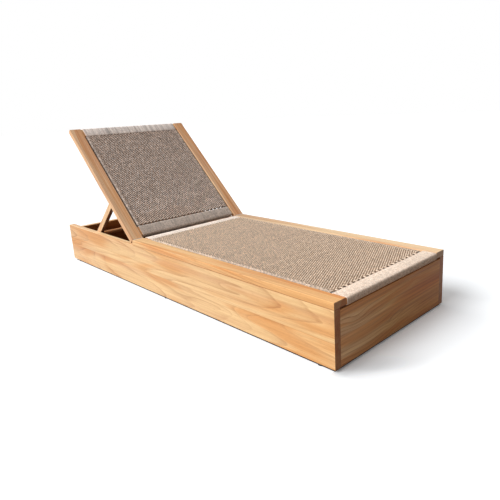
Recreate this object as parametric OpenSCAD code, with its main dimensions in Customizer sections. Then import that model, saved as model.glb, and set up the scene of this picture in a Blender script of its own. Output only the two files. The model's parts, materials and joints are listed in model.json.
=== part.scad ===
// Low sun lounger: a solid timber box base, a rope-woven seat frame fixed on it, and a
// rope-woven backrest hinged at the seat that a swinging prop holds on notched racks.
// +X is the foot end, +Y the left side of someone lying on it, +Z up.
// The origin is on the floor, in the middle of the whole length.

/* [Base box] */
// Length of the side boards
base_l = 2000; // [1800:10:2200]
// Width of the box and of the frames on it
base_w = 706; // [640:2:800]
// Height of the side boards
board_h = 206; // [190:1:260]
// Thickness of the side, foot and head boards
board_t = 30; // [26:1:36]
// Rounding of the boards' long edges
board_edge = 2.5; // [1:0.5:6]
// How far the foot board stays under the side boards' top
foot_drop = 8; // [6:1:20]
// How far the head board stays under the side boards' top
head_drop = 20; // [12:1:40]
// Width and depth of the square corner blocks
block_w = 38; // [25:1:60]
// Height of the corner blocks at the foot
block_h = 140; // [80:5:170]
// Gap between the corner blocks at the head and the racks over them
block_gap = 6; // [2:1:20]
// Width of the braces across the bottom of the box
brace_w = 90; // [50:5:140]
// Thickness of those braces
brace_t = 18; // [12:1:25]
// Number of braces
brace_count = 3; // [2:1:5]
// Height of the braces over the boards' lower edge
brace_lift = 6; // [2:1:20]
// Diameter of the glides under the side boards
glide_d = 26; // [16:1:30]
// Thickness of the glides
glide_t = 8; // [2:0.5:12]
// Distance of the end glides from the ends of the box
glide_inset = 70; // [40:5:200]

/* [Seat frame] */
// Width of the visible side rails and stiles
rail_w = 60; // [50:1:72]
// Thickness of the seat rails
rail_t = 25; // [25:1:34]
// Rounding of the rails' and stiles' long edges
rail_edge = 3; // [1:0.5:6]
// Width of the cross rail at the foot, under its rope
foot_cross_w = 58; // [40:1:80]
// Width of the cross rail at the hinge, under its rope
hinge_cross_w = 50; // [36:1:70]
// Thickness of the cross rails under their rope
core_t = 22; // [18:1:26]
// Width of the tenons on the cross rails
tenon_w = 30; // [16:1:34]
// Thickness of those tenons
tenon_t = 10; // [6:1:14]
// Length of those tenons
tenon_l = 26; // [12:1:40]
// Width of the bearers under the seat
bearer_w = 70; // [40:5:110]
// Thickness of the bearers
bearer_t = 20; // [14:1:28]
// Number of bearers
bearer_count = 4; // [2:1:6]
// Depth of the ledgers that carry the bearers, across the lounger
ledger_w = 22; // [14:1:35]
// Height of those ledgers
ledger_h = 26; // [16:1:45]

/* [Rope] */
// Thickness of one layer of rope round a cross rail
rope_t = 4; // [3:0.5:5]
// How far the wrapped rails stand over the timber
rope_proud = 0.5; // [0:0.5:2]
// Thickness of the woven panels
weave_t = 8; // [6:1:10]
// How far the woven panels lie under the timber's face
weave_drop = 0.5; // [0:0.5:3]
// Gap between the woven panels and the timber at their sides
weave_gap = 6; // [2:0.5:8]
// Width of the metal tubes that the woven edges are wound on
tube_w = 14; // [10:1:20]
// Height of those tubes
tube_h = 15; // [10:1:18]
// Wall of those tubes
tube_wall = 1.6; // [1:0.1:3]

/* [Backrest] */
// Length of the backrest from the hinge to its top
back_l = 756; // [650:2:850]
// Angle of the backrest over the seat as it stands
back_angle = 44; // [30:1:55]
// Width of the backrest's cross rails, under their rope
back_cross_w = 50; // [36:1:70]
// Distance from the hinge to the rope of the lower cross rail
back_open = 17; // [12:1:40]
// How much thinner the stiles are than the rails, so that they lie flat without rubbing
flat_gap = 0.5; // [0.3:0.1:2]
// Rounding of the stiles' upper back corner
stile_corner = 10; // [4:1:18]

/* [Butt hinges] */
// Depth of the hinge axis under the frames' face
hinge_sink = 2; // [1:0.5:3]
// Width of each hinge
hinge_w = 50; // [30:1:56]
// Height of its leaves
leaf_h = 19; // [14:1:20]
// Thickness of its leaves
leaf_t = 1.5; // [1:0.1:2]
// Gap between the two leaves when the backrest is flat
leaf_gap = 0.2; // [0.1:0.1:1]
// Radius of the knuckles
knuckle_r = 3.2; // [2.8:0.1:4]
// Number of knuckles on each hinge
knuckle_count = 5; // [3:2:7]
// Diameter of the hinge pins
hinge_pin_d = 3.2; // [2.4:0.1:3.6]
// Play of a pin in its bore, on the radius
pin_play = 0.05; // [0.02:0.01:0.1]

/* [Prop] */
// Distance from the hinge axis to the prop's pivots, along the backrest
prop_s = 280; // [240:2:320]
// Length of the prop's arms between the pivot and the crossbar
prop_l = 311; // [300:1:330]
// Width of the prop's arms
arm_w = 29; // [22:1:30]
// Thickness of the prop's arms
arm_t = 21; // [16:1:22]
// Gap between the prop's arms and the side boards
arm_gap = 4; // [3.5:0.5:8]
// Gap between the arms and the brackets' base plates
arm_swing = 1; // [0.5:0.5:4]
// Thickness of the brackets' sheet metal
bracket_t = 2.5; // [1.5:0.5:3]
// Length of the brackets along the stiles
bracket_l = 60; // [40:2:90]
// Diameter of the pivot bolts
bolt_d = 8; // [5:0.5:10]
// Diameter of the bolts' round heads
bolt_head_d = 15; // [12:0.5:18]
// Height of the bolts' heads
bolt_head_t = 4; // [2:0.5:6]
// Diameter of the prop's crossbar
bar_d = 20; // [16:1:22]

/* [Racks] */
// Backrest angles at which the racks have a notch
notch_angles = [15, 30, 44, 57];
// Depth of the notches
notch_depth = 6; // [4:0.5:9]
// Height at which the crossbar passes over the racks' teeth
bar_clear = 1.3; // [1.2:0.1:3]
// How far the crossbar hangs under the pivots when the backrest is flat
bar_drop = 4; // [3:0.5:6]
// Width of the racks
rack_w = 26; // [16:1:35]
// Height of the racks
rack_h = 56; // [40:1:80]
// How far the racks run on past the crossbar's ends of travel
rack_past = 32; // [20:1:60]
// Height of the spacers that carry the racks
spacer_h = 34; // [20:1:40]
// How far the spacers' top lies under the racks' top
spacer_drop = 14; // [10:1:24]

/* [Hidden] */
$fn = 48;
left = 1;
right = -1;
teak = [0.84, 0.62, 0.40];
teak_dark = [0.62, 0.43, 0.27];
rope = [0.74, 0.65, 0.54];
steel = [0.70, 0.71, 0.72];
alloy = [0.80, 0.80, 0.79];
nylon = [0.16, 0.15, 0.14];
seat_fit = 0.2; // Clearance round tenons, tubes and wrapped rails
cut = 1; // How far a cutting shape runs past the face it cuts
glide_step = 1; // Height and depth of the step round the foot of a glide
relief_gap = 1; // Clearance at the ends of a hinge's knuckles
notch_play = 0.5; // Play of the crossbar in a notch, on the radius
bolt_step = 1.5; // Step round the outer half of a bolt's head

// Places along the lounger
x_head = -(base_l + rope_t) / 2;
x_foot = x_head + base_l;
hinge_x = x_head + back_l;
// Heights
board_top = glide_t + board_h;
top = board_top + rail_t;
hinge_z = top - hinge_sink;
// Places across the lounger
half_w = base_w / 2;
inner_y = half_w - board_t;
rail_y = half_w - rail_w;
weave_y = rail_y - weave_gap;
tube_y = weave_y - rope_t - tube_w;
rail_mid_y = half_w - rail_w / 2;
// Frames
frame_gap = leaf_gap / 2 + leaf_t;
stile_t = rail_t - flat_gap;
wrap_top = top + rope_proud;
core_top = wrap_top - rope_t;
core_bottom = core_top - core_t;
tube_top = top - weave_drop - rope_t;
foot_core_x = x_foot - foot_cross_w;
hinge_core_x = hinge_x + frame_gap + rope_t;
back_bottom_x = hinge_x - back_open - rope_t;
back_top_x = hinge_x - back_l + back_cross_w;
// Hinges
knuckle_w = hinge_w / knuckle_count;
knuckle_gap = 0.25; // Clearance between a knuckle and the parts it turns past
// Prop
arm_y1 = inner_y - arm_gap;
arm_y0 = arm_y1 - arm_t;
ear_gap = 0.3; // Clearance between an arm and the ears of its bracket
prop_depth = stile_t - hinge_sink + bracket_t + arm_swing + arm_w / 2;
bar_r = bar_d / 2;
bar_z = hinge_z - prop_depth - bar_drop;
rack_top = bar_z - bar_r - bar_clear;
rack_y1 = arm_y0 - 2 * ear_gap - bracket_t;
rack_y0 = rack_y1 - rack_w;
spacer_top = rack_top - spacer_drop;
rack_bottom = min(rack_top - rack_h, spacer_top - spacer_h);
ear_r = 0.75 * bolt_head_d;
block_z = glide_t + brace_lift;
head_block_h = rack_bottom - block_gap - block_z;

// The pivot's place and the crossbar's when the bar lies on the racks, for a backrest angle
function pivot_x(a) = hinge_x - prop_s * cos(a) - prop_depth * sin(a);
function pivot_z(a) = hinge_z + prop_s * sin(a) - prop_depth * cos(a);
function arm_angle(a) = asin((pivot_z(a) - bar_z) / prop_l);
function bar_x(a) = pivot_x(a) - prop_l * cos(arm_angle(a));

// Building blocks
module rounded(w, h, r) {
    translate([0, r]) square([w, h - 2 * r]);
    translate([r, 0]) square([w - 2 * r, h]);
    for (x = [r, w - r], y = [r, h - r])
        translate([x, y]) circle(r);
}
module stick(x, y, z, r) { // A bar along X between x[0] and x[1], with rounded long edges
    translate([x[0], y[0], z[0]]) rotate([90, 0, 90])
        linear_extrude(x[1] - x[0]) rounded(y[1] - y[0], z[1] - z[0], r);
}
module cross_stick(x, y, z, r) { // The same along Y
    translate([x[0], y[1], z[0]]) rotate([90, 0, 0])
        linear_extrude(y[1] - y[0]) rounded(x[1] - x[0], z[1] - z[0], r);
}
module block(x, y, z) {
    translate([x[0], y[0], z[0]]) cube([x[1] - x[0], y[1] - y[0], z[1] - z[0]]);
}
module across(x, y, z, r) { // A round bar along Y, between y[0] and y[1]
    translate([x, y[1], z]) rotate([90, 0, 0]) cylinder(h = y[1] - y[0], r = r);
}
module on(side) { // Draws a left-hand piece on its own side
    if (side == left) children();
    else mirror([0, 1, 0]) children();
}
module raised() { // Turns the flat backrest up to where it stands
    translate([hinge_x, 0, hinge_z]) rotate([0, back_angle, 0])
        translate([-hinge_x, 0, -hinge_z]) children();
}
module propped() { // Puts a prop drawn at the origin, pointing to the head, in its place
    translate([pivot_x(back_angle), 0, pivot_z(back_angle)])
        rotate([0, -arm_angle(back_angle), 0]) children();
}

// Base box
module side_board(side) color(teak) on(side)
    stick([x_head, x_foot], [inner_y, half_w], [glide_t, board_top], board_edge);
module foot_board() color(teak_dark)
    cross_stick([x_foot - board_t, x_foot], [-inner_y, inner_y],
        [glide_t, board_top - foot_drop], board_edge);
module head_board() color(teak_dark)
    cross_stick([x_head, x_head + board_t], [-inner_y, inner_y],
        [glide_t, board_top - head_drop], board_edge);
module corner_block(side, x, h) color(teak_dark) on(side)
    block([x, x + block_w], [inner_y - block_w, inner_y], [block_z, block_z + h]);
foot_block_x = x_foot - board_t - block_w;
head_block_x = x_head + board_t;
module base_braces() color(teak_dark) {
    span = base_l - 2 * (board_t + block_w) - brace_w;
    step = span / (brace_count + 1);
    for (i = [1:brace_count])
        translate([head_block_x + block_w + i * step, 0, 0])
            cross_stick([0, brace_w], [-inner_y, inner_y], [block_z, block_z + brace_t], board_edge);
}
module glides() color(nylon)
    for (x = [x_head + glide_inset, (x_head + x_foot) / 2, x_foot - glide_inset], side = [left, right])
        translate([x, side * (half_w - board_t / 2), 0]) {
            translate([0, 0, glide_step]) cylinder(h = glide_t - glide_step, d = glide_d);
            cylinder(h = glide_step, d = glide_d - 2 * glide_step);
        }

// Seat
module mortise(x) // The pocket for a cross rail's tenon in a left-hand rail or stile
    block([x - tenon_w / 2 - seat_fit / 2, x + tenon_w / 2 + seat_fit / 2],
        [rail_y - cut, rail_y + tenon_l + seat_fit],
        [core_mid_z - tenon_t / 2 - seat_fit / 2, core_mid_z + tenon_t / 2 + seat_fit / 2]);
core_mid_z = core_bottom + core_t / 2;
module core_rail(x, w) { // A cross rail with its two tenons, before the rope goes on
    cross_stick([x, x + w], [-rail_y, rail_y], [core_bottom, core_top], rail_edge);
    block([x + w / 2 - tenon_w / 2, x + w / 2 + tenon_w / 2],
        [-rail_y - tenon_l, rail_y + tenon_l],
        [core_mid_z - tenon_t / 2, core_mid_z + tenon_t / 2]);
}
module wrap(x, w, tube_side) { // The rope round a cross rail, notched where the edge tubes pass
    difference() {
        cross_stick([x - rope_t, x + w + rope_t], [-weave_y, weave_y],
            [core_bottom - rope_t, wrap_top], rail_edge + rope_t);
        cross_stick([x - seat_fit, x + w + seat_fit], [-rail_y, rail_y],
            [core_bottom - seat_fit, core_top + seat_fit], rail_edge);
        for (side = [left, right]) on(side)
            block([tube_side ? x + w / 2 : x - 2 * rope_t, tube_side ? x + w + 2 * rope_t : x + w / 2],
                [tube_y - seat_fit, tube_y + tube_w + seat_fit],
                [tube_top - tube_h - seat_fit, tube_top + seat_fit]);
    }
}
module edge_tube(x) // The square tube that carries one woven edge
    difference() {
        stick(x, [tube_y, tube_y + tube_w], [tube_top - tube_h, tube_top], tube_wall);
        block([x[0] - cut, x[1] + cut], [tube_y + tube_wall, tube_y + tube_w - tube_wall],
            [tube_top - tube_h + tube_wall, tube_top - tube_wall]);
    }
module weave(x) // A woven panel with its edges wound round the tubes
    difference() {
        union() {
            block(x, [-tube_y, tube_y], [top - weave_drop - weave_t, top - weave_drop]);
            for (side = [left, right]) on(side)
                stick(x, [tube_y - rope_t, weave_y],
                    [tube_top - tube_h - rope_t, top - weave_drop], rope_t);
        }
        for (side = [left, right]) on(side)
            stick([x[0] - cut, x[1] + cut], [tube_y - seat_fit, tube_y + tube_w + seat_fit],
                [tube_top - tube_h - seat_fit, tube_top + seat_fit], tube_wall);
    }
module barrel_relief(side) on(side) // Room for a hinge's knuckles in the end of a rail or stile
    across(hinge_x, [rail_mid_y - hinge_w / 2 - relief_gap, rail_mid_y + hinge_w / 2 + relief_gap],
        hinge_z, knuckle_r + knuckle_gap);
module seat_rail(side) color(teak) difference() {
    on(side) difference() {
        stick([hinge_x + frame_gap, x_foot], [rail_y, half_w], [board_top, top], rail_edge);
        mortise(foot_core_x + foot_cross_w / 2);
        mortise(hinge_core_x + hinge_cross_w / 2);
    }
    barrel_relief(side);
}
module seat_foot_rail() color(teak_dark) core_rail(foot_core_x, foot_cross_w);
module seat_hinge_rail() color(teak_dark) core_rail(hinge_core_x, hinge_cross_w);
seat_inside = [hinge_core_x + hinge_cross_w, foot_core_x];
module seat_tube(side) color(alloy) on(side) edge_tube(seat_inside);
module seat_weave() color(rope) weave([seat_inside[0] + rope_t, seat_inside[1] - rope_t]);
module seat_foot_wrap() color(rope) wrap(foot_core_x, foot_cross_w, false);
module seat_hinge_wrap() color(rope) wrap(hinge_core_x, hinge_cross_w, true);
module seat_ledger(side) color(teak_dark) on(side)
    stick([hinge_x + hinge_cross_w, foot_block_x], [inner_y - ledger_w, inner_y],
        [board_top - bearer_t - ledger_h, board_top - bearer_t], board_edge);
module seat_bearers() color(teak_dark) {
    run = seat_inside[1] - seat_inside[0] - bearer_w;
    for (i = [0:bearer_count - 1])
        translate([seat_inside[0] + run * (i + 0.5) / bearer_count, 0, 0])
            cross_stick([0, bearer_w], [-inner_y, inner_y],
                [board_top - bearer_t, board_top], board_edge);
}

// Racks, whose notches lie where the crossbar stands at each backrest angle
rack_x = [bar_x(0) - rack_past, bar_x(max(notch_angles)) + rack_past];
module rack(side) color(teak_dark) on(side) difference() {
    stick(rack_x, [rack_y0, rack_y1], [rack_top - rack_h, rack_top], board_edge);
    for (a = notch_angles)
        across(bar_x(a), [rack_y0 - cut, rack_y1 + cut], rack_top - notch_depth + bar_r,
            bar_r + notch_play);
}
module rack_spacer(side) color(teak_dark) on(side)
    stick(rack_x, [rack_y1, inner_y], [spacer_top - spacer_h, spacer_top], board_edge);

// Butt hinges: knuckles 0, 2, 4 belong to the seat, 1 and 3 to the backrest
module leaf(side, first, toward) on(side) difference() {
    y0 = rail_mid_y - hinge_w / 2;
    union() {
        difference() {
            translate([hinge_x + (toward > 0 ? leaf_gap / 2 : -leaf_gap / 2 - leaf_t), y0,
                hinge_z - leaf_h]) cube([leaf_t, hinge_w, leaf_h]);
            for (i = [1 - first:2:knuckle_count - 1])
                across(hinge_x, [y0 + i * knuckle_w - knuckle_gap, y0 + (i + 1) * knuckle_w + knuckle_gap],
                    hinge_z, knuckle_r + knuckle_gap);
        }
        for (i = [first:2:knuckle_count - 1])
            across(hinge_x, [y0 + i * knuckle_w, y0 + (i + 1) * knuckle_w], hinge_z, knuckle_r);
    }
    across(hinge_x, [y0 - cut, y0 + hinge_w + cut], hinge_z, hinge_pin_d / 2 + pin_play);
}
module seat_leaf(side) color(steel) leaf(side, 0, 1);
module back_leaf(side) color(steel) raised() leaf(side, 1, -1);
module hinge_pins() color(steel)
    for (side = [left, right]) on(side)
        across(hinge_x, [rail_mid_y - hinge_w / 2, rail_mid_y + hinge_w / 2], hinge_z, hinge_pin_d / 2);

// Backrest, drawn flat and then raised
module stile_outline() // A stile seen from its side, with the upper back corner rounded
    translate([hinge_x - back_l, 0]) difference() {
        translate([0, top - stile_t]) square([back_l - frame_gap, stile_t]);
        translate([-cut, top - stile_t - cut]) difference() {
            square([stile_corner + cut, stile_corner + cut]);
            translate([stile_corner + cut, stile_corner + cut]) circle(stile_corner);
        }
    }
module back_stile(side) color(teak) raised() difference() {
    on(side) difference() {
        intersection() {
            stick([hinge_x - back_l, hinge_x - frame_gap], [rail_y, half_w],
                [top - stile_t, top], rail_edge);
            translate([0, half_w + cut, 0]) rotate([90, 0, 0])
                linear_extrude(rail_w + 2 * cut) stile_outline();
        }
        mortise(back_top_x - back_cross_w / 2);
        mortise(back_bottom_x - back_cross_w / 2);
    }
    barrel_relief(side);
}
module back_top_rail() color(teak_dark) raised() core_rail(back_top_x - back_cross_w, back_cross_w);
module back_bottom_rail() color(teak_dark) raised()
    core_rail(back_bottom_x - back_cross_w, back_cross_w);
back_inside = [back_top_x, back_bottom_x - back_cross_w];
module back_tube(side) color(alloy) raised() on(side) edge_tube(back_inside);
module back_weave() color(rope) raised() weave([back_inside[0] + rope_t, back_inside[1] - rope_t]);
module back_top_wrap() color(rope) raised() wrap(back_top_x - back_cross_w, back_cross_w, true);
module back_bottom_wrap() color(rope) raised() wrap(back_bottom_x - back_cross_w, back_cross_w, false);

// Prop: two arms on brackets behind the stiles, joined by the crossbar
module prop_bracket(side) color(steel) raised() on(side) {
    back_z = top - stile_t;
    pivot_flat_z = hinge_z - prop_depth;
    ear_y = [arm_y0 - ear_gap - bracket_t, arm_y1 + ear_gap];
    block([hinge_x - prop_s - bracket_l / 2, hinge_x - prop_s + bracket_l / 2],
        [ear_y[0], ear_y[1] + bracket_t], [back_z - bracket_t, back_z]);
    for (y = ear_y)
        difference() {
            union() {
                block([hinge_x - prop_s - ear_r, hinge_x - prop_s + ear_r],
                    [y, y + bracket_t], [pivot_flat_z, back_z - bracket_t]);
                across(hinge_x - prop_s, [y, y + bracket_t], pivot_flat_z, ear_r);
            }
            across(hinge_x - prop_s, [y - cut, y + bracket_t + cut], pivot_flat_z, bolt_d / 2 + pin_play);
        }
}
module prop_bolts() color(steel) raised()
    for (side = [left, right]) on(side) {
        x = hinge_x - prop_s;
        z = hinge_z - prop_depth;
        head_y = arm_y0 - ear_gap - bracket_t;
        across(x, [head_y, arm_y1 + ear_gap + bracket_t], z, bolt_d / 2);
        across(x, [head_y - bolt_head_t / 2, head_y], z, bolt_head_d / 2);
        across(x, [head_y - bolt_head_t, head_y - bolt_head_t / 2], z,
            bolt_head_d / 2 - bolt_step);
    }
module prop_arm(side) color(teak) propped() on(side) difference() {
    union() {
        block([-prop_l, 0], [arm_y0, arm_y1], [-arm_w / 2, arm_w / 2]);
        for (x = [0, -prop_l])
            across(x, [arm_y0, arm_y1], 0, arm_w / 2);
    }
    across(0, [arm_y0 - cut, arm_y1 + cut], 0, bolt_d / 2 + pin_play);
    across(-prop_l, [arm_y0 - cut, arm_y1 + cut], 0, bar_r + pin_play);
}
module prop_crossbar() color(teak_dark) propped() across(-prop_l, [-arm_y1, arm_y1], 0, bar_r);

side_board(left);  // side_board_left
side_board(right);  // side_board_right
foot_board();
head_board();
corner_block(left, foot_block_x, block_h);  // corner_block_foot_left
corner_block(right, foot_block_x, block_h);  // corner_block_foot_right
corner_block(left, head_block_x, head_block_h);  // corner_block_head_left
corner_block(right, head_block_x, head_block_h);  // corner_block_head_right
base_braces();
glides();
seat_ledger(left);  // seat_ledger_left
seat_ledger(right);  // seat_ledger_right
seat_bearers();
seat_rail(left);  // seat_rail_left
seat_rail(right);  // seat_rail_right
seat_foot_rail();
seat_hinge_rail();
seat_tube(left);  // seat_tube_left
seat_tube(right);  // seat_tube_right
seat_weave();
seat_foot_wrap();
seat_hinge_wrap();
rack_spacer(left);  // rack_spacer_left
rack_spacer(right);  // rack_spacer_right
rack(left);  // rack_left
rack(right);  // rack_right
seat_leaf(left);  // seat_leaf_left
seat_leaf(right);  // seat_leaf_right
hinge_pins();
back_stile(left);  // back_stile_left
back_stile(right);  // back_stile_right
back_top_rail();
back_bottom_rail();
back_tube(left);  // back_tube_left
back_tube(right);  // back_tube_right
back_weave();
back_top_wrap();
back_bottom_wrap();
back_leaf(left);  // back_leaf_left
back_leaf(right);  // back_leaf_right
prop_bracket(left);  // prop_bracket_left
prop_bracket(right);  // prop_bracket_right
prop_bolts();
prop_arm(left);  // prop_arm_left
prop_arm(right);  // prop_arm_right
prop_crossbar();
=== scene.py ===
import json
import math

import bpy
import numpy as np
from mathutils import Matrix, Vector


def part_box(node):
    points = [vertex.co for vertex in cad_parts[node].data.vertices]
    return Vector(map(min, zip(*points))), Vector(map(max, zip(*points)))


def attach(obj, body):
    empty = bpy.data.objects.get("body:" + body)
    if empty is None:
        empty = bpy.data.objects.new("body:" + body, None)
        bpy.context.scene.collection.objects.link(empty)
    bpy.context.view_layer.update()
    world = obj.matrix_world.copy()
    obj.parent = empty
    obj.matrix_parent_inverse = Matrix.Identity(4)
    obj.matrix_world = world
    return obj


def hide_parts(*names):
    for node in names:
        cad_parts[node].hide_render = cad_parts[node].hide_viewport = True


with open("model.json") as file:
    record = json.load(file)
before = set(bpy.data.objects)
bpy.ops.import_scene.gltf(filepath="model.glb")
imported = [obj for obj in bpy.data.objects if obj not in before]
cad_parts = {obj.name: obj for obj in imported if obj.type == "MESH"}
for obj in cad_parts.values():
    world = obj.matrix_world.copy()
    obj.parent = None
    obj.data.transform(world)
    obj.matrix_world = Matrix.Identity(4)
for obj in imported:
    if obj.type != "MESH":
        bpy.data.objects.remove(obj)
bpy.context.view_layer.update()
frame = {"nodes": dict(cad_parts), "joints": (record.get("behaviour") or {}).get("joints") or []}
nodes = frame["nodes"]

# ---------------------------------------------------------------- the back's place
hinge = next(joint for joint in frame["joints"] if joint["name"] == "back_recline")
hinge_at = np.array(hinge["pos_m"], float)
raised = math.radians(-hinge["range_deg"][0])
turn = np.array(Matrix.Rotation(raised, 3, "Y"))


def stay(points):
    """Leaves the seat's points where they are."""
    return points


def upright(points):
    """Carries points from the back lying flat to the back at rest."""
    return (np.asarray(points) - hinge_at) @ turn.T + hinge_at


def flat_box(name):
    """Corners of a back node as it lies flat."""
    points = np.array([vertex.co for vertex in nodes[name].data.vertices])
    points = (points - hinge_at) @ turn + hinge_at
    return points.min(0), points.max(0)


def solid_box(name):
    """Corners of a node at rest."""
    low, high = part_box(name)
    return np.array(low), np.array(high)


# places that the looks follow
board_lo, board_hi = solid_box("side_board_right")
tube_lo, tube_hi = solid_box("seat_tube_left")
HINGE_X = float(hinge_at[0])
BOARD_END = float(board_hi[0])
BOARD_TOP = float(board_hi[2])
BOARD_OUTSIDE = -float(board_lo[1])
BOARD_INSIDE = -float(board_hi[1])
TUBE_INSIDE = float(tube_lo[1])
CLOTH_HALF = 0.004
# the height of the cloth's middle
CLOTH_Z = float(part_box("seat_weave")[1][2]) - CLOTH_HALF


def place_object(name, data):
    """Adds an object to the scene."""
    added = bpy.data.objects.new(name, data)
    bpy.context.scene.collection.objects.link(added)
    return added


# ---------------------------------------------------------------- node helpers
def put(tree, kind, inputs=None, **settings):
    """Adds a shader node, sets its properties, and links or sets its inputs."""
    node = tree.nodes.new("ShaderNode" + kind)
    for key, value in settings.items():
        setattr(node, key, value)
    pairs = inputs.items() if isinstance(inputs, dict) else enumerate(inputs or ())
    for key, value in pairs:
        if isinstance(value, bpy.types.NodeSocket):
            tree.links.new(value, node.inputs[key])
        elif value is not None:
            node.inputs[key].default_value = value
    return node


def calc(tree, operation, *values, clamp=False):
    """One Math node."""
    return put(tree, "Math", values, operation=operation, use_clamp=clamp).outputs[0]


def add(tree, first, *others):
    """The sum of some values."""
    for other in others:
        first = calc(tree, "ADD", first, other)
    return first


def times(tree, first, *others):
    """The product of some values."""
    for other in others:
        first = calc(tree, "MULTIPLY", first, other)
    return first


def minus(tree, first, second):
    """One value less another."""
    return calc(tree, "SUBTRACT", first, second)


def swing(tree, share, amount):
    """A share from 0 to 1 as a swing about zero."""
    return times(tree, minus(tree, share, 0.5), amount)


def bell(tree, *ratios):
    """1 where every ratio is 0, and almost 0 where one of them passes 2."""
    squares = [calc(tree, "POWER", ratio, 2.0) for ratio in ratios]
    return calc(tree, "EXPONENT", times(tree, add(tree, *squares), -1.0))


def spread(tree, value, low, high, to_low=0.0, to_high=1.0):
    """Maps a range of values to another and clamps it."""
    return put(tree, "MapRange", (value, low, high, to_low, to_high)).outputs[0]


def parts(tree, vector):
    """The three parts of a vector."""
    return put(tree, "SeparateXYZ", (vector,)).outputs


def vector_of(tree, *values):
    """A vector from its three parts."""
    return put(tree, "CombineXYZ", values).outputs[0]


def scaled(tree, vector, factors):
    """A vector times constant factors."""
    return put(tree, "VectorMath", (vector, factors), operation="MULTIPLY").outputs[0]


def noise(tree, vector, scale, detail=2.0, roughness=0.5):
    """The value of a noise texture."""
    inputs = {"Vector": vector, "Scale": scale, "Detail": detail, "Roughness": roughness}
    return put(tree, "TexNoise", inputs).outputs["Fac"]


def fibrous(tree, vector, along, across, detail=2.0, roughness=0.5, scale=1.0):
    """Noise that is drawn out along the grain."""
    return noise(tree, scaled(tree, vector, (along, across, across)), scale, detail, roughness)


def blend_colour(tree, factor, first, second, mode="MIX"):
    """Mixes two colours."""
    node = put(tree, "Mix", data_type="RGBA", blend_type=mode)
    for key, value in ((0, factor), (6, first), (7, second)):
        if isinstance(value, bpy.types.NodeSocket):
            tree.links.new(value, node.inputs[key])
        elif key == 0:
            node.inputs[key].default_value = value
        else:
            node.inputs[key].default_value = (*value, 1.0)
    return node.outputs[2]


def tinted(tree, colour, tint):
    """A colour times another."""
    return blend_colour(tree, 1.0, colour, tint, "MULTIPLY")


def colour_of(tree, red, green, blue):
    """A colour from its three parts."""
    return put(tree, "CombineColor", (red, green, blue)).outputs[0]


def bump(tree, shader, height, strength, distance):
    """Gives a shader its fine relief."""
    node = put(tree, "Bump", {"Strength": strength, "Distance": distance, "Height": height})
    tree.links.new(node.outputs[0], shader.inputs["Normal"])


def material(name):
    """A new node material with its shader."""
    made = bpy.data.materials.new(name)
    made.use_nodes = True
    return made, made.node_tree, made.node_tree.nodes["Principled BSDF"]


# ---------------------------------------------------------------- teak
PALE = (0.98, 0.73, 0.41)
GOLD = (0.89, 0.53, 0.24)
AMBER = (0.80, 0.41, 0.155)
BLUSH = (0.74, 0.40, 0.24)
LINE = (0.48, 0.20, 0.08)
END = (0.58, 0.46, 0.41)
# painted shade on faces turned into the box: its colour low down and high up, and the heights between
PAINTED_SHADE_LOW = (0.10, 0.035, 0.012)
PAINTED_SHADE_HIGH = (0.68, 0.50, 0.40)
PAINTED_SHADE_HEIGHTS = (0.11, BOARD_TOP - 0.02)
ALL_ROUND = (0, 0, 1)
GRAIN = {"x": (0, 0, 0), "y": (0, 0, -math.pi / 2), "z": (0, math.pi / 2, 0)}
# a stave wider than any board, so that the board is one piece
ONE_BOARD = 9.0
# how far one row's joints lie from the next row's, as a share of a stave's length
RUN_STEP = 0.61
# how the seed moves the joints, the staves' lots and the rows' lots
SEED_STEPS = (0.173, 1.37, 2.11)
# how far apart in the noises two rows lie
STAVE_JUMP = (3.0, 0.4, 0.4)
# the pith lies in the middle of a stave, up to this width, give or take the next two
WIDE_STAVE = 0.1
PITH_DEPTH = 0.02
PITH_SIDE = 0.05
# the pith's slope along the board: its range, its least value, and the place that it turns about
LEAN = 0.07
LEAN_LEAST = -0.0105
LEAN_FROM = 0.6
RIPPLE_SIZE = 0.005
BANDS_PER_RING = 0.42
BAND_ALONG = 1.1
# noises as their scale along and across the grain, then detail, roughness and scale; the wander's
# scale along the grain comes from sway
WANDER_ACROSS = (7.0, 1.0, 0.4)
RIPPLES = (4.0, 34.0)
PATCHES = (1.3, 13.0)
BLUSHES = (1.0, 17.0, 3.0, 0.5, 1.3)
LINES = (2.2, 18.0)
STREAKS = (1.8, 95.0, 3.0, 0.6)
FIBRES = (7.0, 330.0, 4.0, 0.65)
PORES = (38.0, 900.0, 1.0)
# how the slow patches, the bands and the stave's lot share in the warm tone
PATCH_SHARE = 0.55
BAND_SHARE = 0.45
LOT_SHARE = 0.02
# the warm tone where gold and amber begin, and where amber is full
GOLD_FROM = 0.45
AMBER_FROM = 0.53
AMBER_FULL = 0.64
# where each noise begins to show and shows in full
BLUSH_RANGE = (0.52, 0.70)
LINE_RANGE = (0.36, 0.66)
STREAK_RANGE = (0.32, 0.68)
PORE_RANGE = (0.62, 0.72)
END_RANGE = (0.75, 0.98)
INNER_RANGE = (0.3, 0.9)
# a value's range and the shades that it gives
FIBRE_SHADE = (0.25, 0.75, 0.92, 1.06)
PORE_SHADE = (0.0, 1.0, 1.0, 0.82)
PIECE_SHADE = (0.0, 1.0, 0.97, 1.02)
SEAM_SHADE = (0.0006, 0.0022, 0.62, 1.0)
# how dark a ring gets on its way out, and how much red, green and blue follow a shade
LATE_CURVE = ((0.10, 0.05), (0.55, 0.20), (0.84, 0.60), (0.93, 1.0))
SHADE_POWERS = (0.85, 1.15, 1.35)


def late_wood(tree, ring):
    """Early wood that rises slowly to a thin dark line of late wood."""
    node = put(tree, "FloatCurve", (1.0, ring))
    curve = node.mapping.curves[0]
    curve.points[0].location = (0.0, 0.0)
    curve.points[1].location = (1.0, 0.0)
    for x, y in LATE_CURVE:
        curve.points.new(x, y)
    node.mapping.update()
    return node.outputs[0]


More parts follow.
